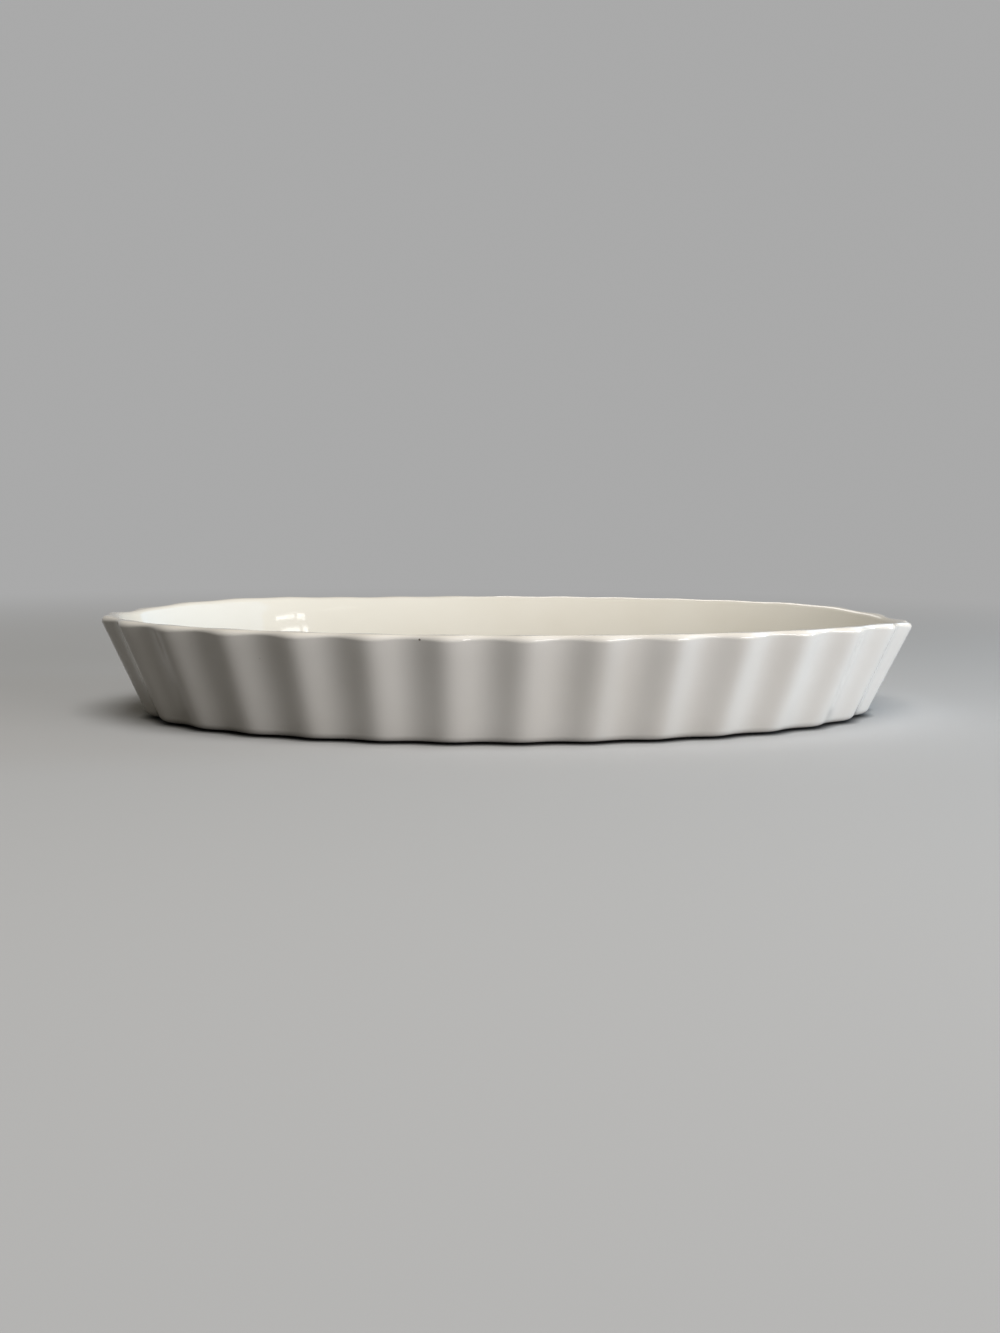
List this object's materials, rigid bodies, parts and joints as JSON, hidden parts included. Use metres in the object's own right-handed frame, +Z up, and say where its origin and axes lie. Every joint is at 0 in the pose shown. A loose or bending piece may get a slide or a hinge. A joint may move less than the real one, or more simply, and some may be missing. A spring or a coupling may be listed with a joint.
{
  "type": "oval tart dish",
  "caption": "Shallow oval baking dish of glazed porcelain with a fluted, outward-leaning wall, a rounded lip, a smooth flat-floored well and a bare foot ring.",
  "frame": {"origin": "on the table, under the middle of the dish", "axes": "+X along the dish's length, +Y across it, +Z up"},
  "size_m": [0.3302, 0.222, 0.0405],
  "materials": {
    "biscuit_porcelain": "matt, unglazed, slightly gritty",
    "white_glaze": "glossy ivory-white glaze",
    "recess_glaze": "glossy, a little rougher than the outside"
  },
  "bodies": {
    "root": {"porcelain_body": "biscuit_porcelain", "glaze_coat": "white_glaze", "underside_glaze": "recess_glaze"}
  },
  "joints": []
}
